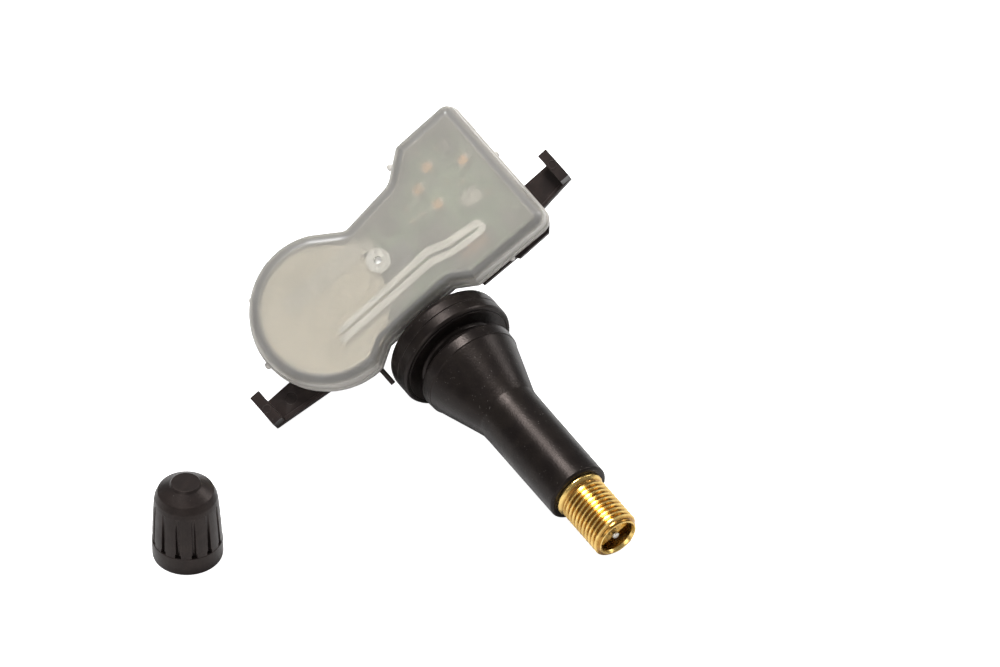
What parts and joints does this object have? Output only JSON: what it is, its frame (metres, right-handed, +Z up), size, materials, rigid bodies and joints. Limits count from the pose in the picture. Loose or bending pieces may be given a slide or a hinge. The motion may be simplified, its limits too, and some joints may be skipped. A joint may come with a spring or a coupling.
{
  "type": "tyre pressure sensor",
  "caption": "Snap-in tyre pressure sensor: a milky clear housing on a black hooked carrier, with a rubber valve stem, brass thread and a separate fluted dust cap.",
  "frame": {"origin": "on the table under the middle of the layout's bounding box", "axes": "+Z up from the table; +X to the right and +Y away from a person who faces the sensor's clear face with the dust cap to the left and the valve pointing towards them and to the right"},
  "size_m": [0.0722, 0.0675, 0.0377],
  "materials": {
    "clear_plastic": "milky translucent moulding, satin",
    "carrier_plastic": "fine moulded grain, slightly worn edges",
    "board": "green solder mask over copper tracks",
    "cell_can": "nickel-plated can, lightly brushed",
    "tab_metal": "thin nickel strip",
    "chip_body": "moulded epoxy",
    "sensor_body": "dark grey moulded package",
    "crystal_can": "stamped metal lid",
    "tantalum": "orange-tan moulded body",
    "ceramic_cap": "fired ceramic with tinned ends",
    "resistor": "black film on white ceramic",
    "ferrite": "pressed ferrite",
    "copper_wire": "enamelled copper wire",
    "membrane": "white porous membrane",
    "valve_rubber": "moulded black rubber, satin sheen",
    "valve_brass": "turned and threaded brass, bright",
    "screw_steel": "zinc-plated steel",
    "core_brass": "turned brass",
    "gasket_red": "red sealing ring",
    "spring_steel": "drawn spring wire",
    "pin_steel": "grey drawn pin with a rounded end",
    "seal_rubber": "black sealing rubber",
    "cap_plastic": "brown-black moulded nylon"
  },
  "bodies": {
    "sensor": {"clear_cover": "clear_plastic", "carrier": "carrier_plastic", "circuit_board": "board", "battery_cell": "cell_can", "battery_tab_positive": "tab_metal", "battery_tab_negative": "tab_metal", "pressure_sensor": "sensor_body", "controller_chip": "chip_body", "motion_sensor": "chip_body", "crystal": "crystal_can", "tantalum_capacitors": "tantalum", "ceramic_capacitors": "ceramic_cap", "resistors": "resistor", "coil_core": "ferrite", "coil_winding": "copper_wire", "port_membrane": "membrane", "valve_rubber": "valve_rubber", "valve_stem": "valve_brass", "stem_screw": "screw_steel", "core_plug": "core_brass", "core_barrel": "core_brass", "core_gasket": "gasket_red", "core_spring": "spring_steel"},
    "valve_pin": {"core_pin": "pin_steel", "core_cup": "core_brass", "core_cup_seal": "seal_rubber"},
    "dust_cap": {"cap_shell": "cap_plastic", "cap_seal": "seal_rubber"}
  },
  "joints": [
    {"name": "valve_pin_push", "type": "slide", "parent": "sensor", "child": "valve_pin", "axis": [-0.5603, 0.8171, 0.1354], "range_m": [0, 0.0012], "stiffness_N_per_m": 1500, "springref_m": -0.0008, "deforming": ["core_spring"]},
    {"name": "cap_lift", "type": "slide", "parent": "sensor", "child": "dust_cap", "axis": [0, 0, 1], "range_m": [0, 0.05]}
  ]
}
